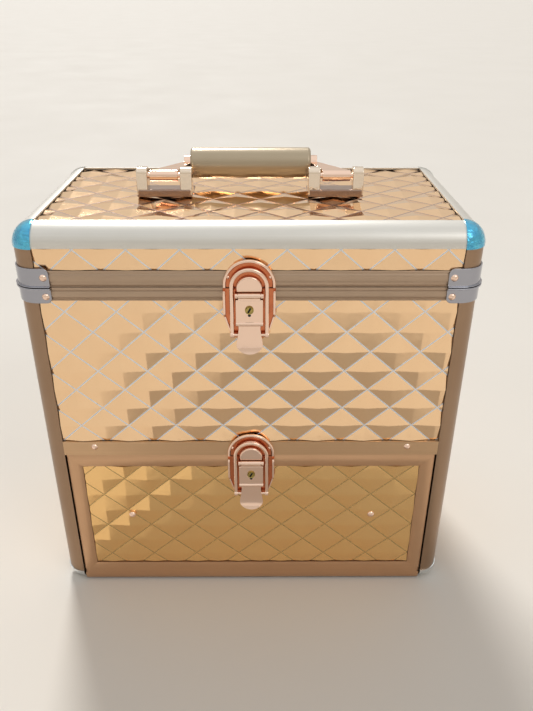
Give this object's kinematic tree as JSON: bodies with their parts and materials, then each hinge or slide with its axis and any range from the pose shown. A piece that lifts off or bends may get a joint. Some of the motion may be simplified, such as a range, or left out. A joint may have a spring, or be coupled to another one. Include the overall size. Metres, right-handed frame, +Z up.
{
  "type": "makeup storage case",
  "caption": "Upright makeup case with mirror-embossed panels, a rear-hinged lid with folding handle, a pull-out lower drawer and key-locking draw latches.",
  "frame": {"origin": "bottom centre of the case, on the floor plane that the feet stand on", "axes": "+Z up, the front with the latches towards -Y, +X to the right as seen from the front"},
  "size_m": [0.3454, 0.2066, 0.3675],
  "materials": {
    "champagne_aluminium": "satin anodised champagne rose, fine lengthwise brushing",
    "rail_aluminium": "satin anodised champagne, ribbed",
    "drawer_frame_aluminium": "satin anodised rose brown, crowned",
    "board_core": "raw fibreboard",
    "mirror_skin": "metallised rose gold mirror foil, diamond embossed",
    "foot_plastic": "black moulded",
    "lining_fabric": "black short-nap felt",
    "drawer_box_board": "black laminated board",
    "runner_plastic": "black",
    "filmed_chrome": "chrome under a wrinkled blue-green transit film",
    "silver_chrome": "polished chrome",
    "grip_satin": "satin champagne gold",
    "lock_brass": "turned brass",
    "hinge_steel": "polished",
    "rose_chrome": "polished rose gold plating"
  },
  "bodies": {
    "case_body": {"body_posts": "champagne_aluminium", "body_rim_rails": "rail_aluminium", "divider_rail": "rail_aluminium", "base_edge_rails": "champagne_aluminium", "base_board": "board_core", "back_board": "board_core", "side_boards": "board_core", "front_board": "board_core", "shelf_board": "board_core", "skin_front": "mirror_skin", "skin_back": "mirror_skin", "skin_sides": "mirror_skin", "base_corner_caps": "silver_chrome", "feet": "foot_plastic", "drawer_runners": "runner_plastic", "body_lining": "lining_fabric", "body_corner_plates": "rose_chrome", "body_rivets": "rose_chrome", "hinge_body_leaves": "hinge_steel", "hinge_pins": "hinge_steel", "upper_latch_base": "rose_chrome", "upper_latch_pin": "rose_chrome", "lower_latch_keeper": "rose_chrome"},
    "lid": {"lid_top_board": "board_core", "lid_wall_boards": "board_core", "lid_skin_top": "mirror_skin", "lid_skin_front": "mirror_skin", "lid_skin_back": "mirror_skin", "lid_skin_sides": "mirror_skin", "lid_edge_rails": "champagne_aluminium", "lid_posts": "champagne_aluminium", "lid_rim_rails": "rail_aluminium", "lid_corner_caps_front": "filmed_chrome", "lid_corner_caps_rear": "silver_chrome", "lid_corner_plates": "rose_chrome", "lid_rivets": "rose_chrome", "lid_lining": "lining_fabric", "hinge_lid_leaves": "hinge_steel", "handle_bracket_left": "rose_chrome", "handle_bracket_right": "rose_chrome", "handle_pins": "rose_chrome", "upper_latch_keeper": "rose_chrome"},
    "handle": {"handle_grip": "grip_satin", "handle_arm_left": "rose_chrome", "handle_arm_right": "rose_chrome"},
    "upper_lever": {"upper_latch_lever": "rose_chrome"},
    "upper_hoop": {"upper_latch_hoop": "rose_chrome"},
    "upper_lock": {"upper_latch_lock": "lock_brass"},
    "drawer": {"drawer_frame_strips": "drawer_frame_aluminium", "drawer_front_board": "board_core", "drawer_skin": "mirror_skin", "drawer_walls": "drawer_box_board", "drawer_floor": "drawer_box_board", "drawer_screws": "rose_chrome", "lower_latch_base": "rose_chrome", "lower_latch_pin": "rose_chrome"},
    "lower_lever": {"lower_latch_lever": "rose_chrome"},
    "lower_hoop": {"lower_latch_hoop": "rose_chrome"},
    "lower_lock": {"lower_latch_lock": "lock_brass"}
  },
  "joints": [
    {"name": "lid_hinge", "type": "hinge", "parent": "case_body", "child": "lid", "pos_m": [0, 0.0993, 0.2915], "axis": [-1, 0, 0], "range_deg": [0, 100]},
    {"name": "drawer_slide", "type": "slide", "parent": "case_body", "child": "drawer", "axis": [0, -1, 0], "range_m": [0, 0.14]},
    {"name": "handle_fold", "type": "hinge", "parent": "lid", "child": "handle", "pos_m": [0, -0.014, 0.3522], "axis": [1, 0, 0], "range_deg": [0, 100]},
    {"name": "upper_lever_lift", "type": "hinge", "parent": "case_body", "child": "upper_lever", "pos_m": [0, -0.1002, 0.2863], "axis": [-1, 0, 0], "range_deg": [0, 110]},
    {"name": "upper_hoop_swing", "type": "hinge", "parent": "upper_lever", "child": "upper_hoop", "pos_m": [0, -0.1002, 0.255], "axis": [1, 0, 0], "range_deg": [0, 110]},
    {"name": "upper_lock_turn", "type": "hinge", "parent": "upper_lever", "child": "upper_lock", "pos_m": [0, -0.1002, 0.2757], "axis": [0, 1, 0], "range_deg": [0, 90]},
    {"name": "lower_lever_lift", "type": "hinge", "parent": "drawer", "child": "lower_lever", "pos_m": [0, -0.1002, 0.13645], "axis": [-1, 0, 0], "range_deg": [0, 110]},
    {"name": "lower_hoop_swing", "type": "hinge", "parent": "lower_lever", "child": "lower_hoop", "pos_m": [0, -0.1002, 0.10515], "axis": [1, 0, 0], "range_deg": [0, 110]},
    {"name": "lower_lock_turn", "type": "hinge", "parent": "lower_lever", "child": "lower_lock", "pos_m": [0, -0.1002, 0.12585], "axis": [0, 1, 0], "range_deg": [0, 90]}
  ],
  "couplings": [
    {"joint": "upper_hoop_swing", "follows": "upper_lever_lift", "ratio": 1},
    {"joint": "lower_hoop_swing", "follows": "lower_lever_lift", "ratio": 1}
  ]
}
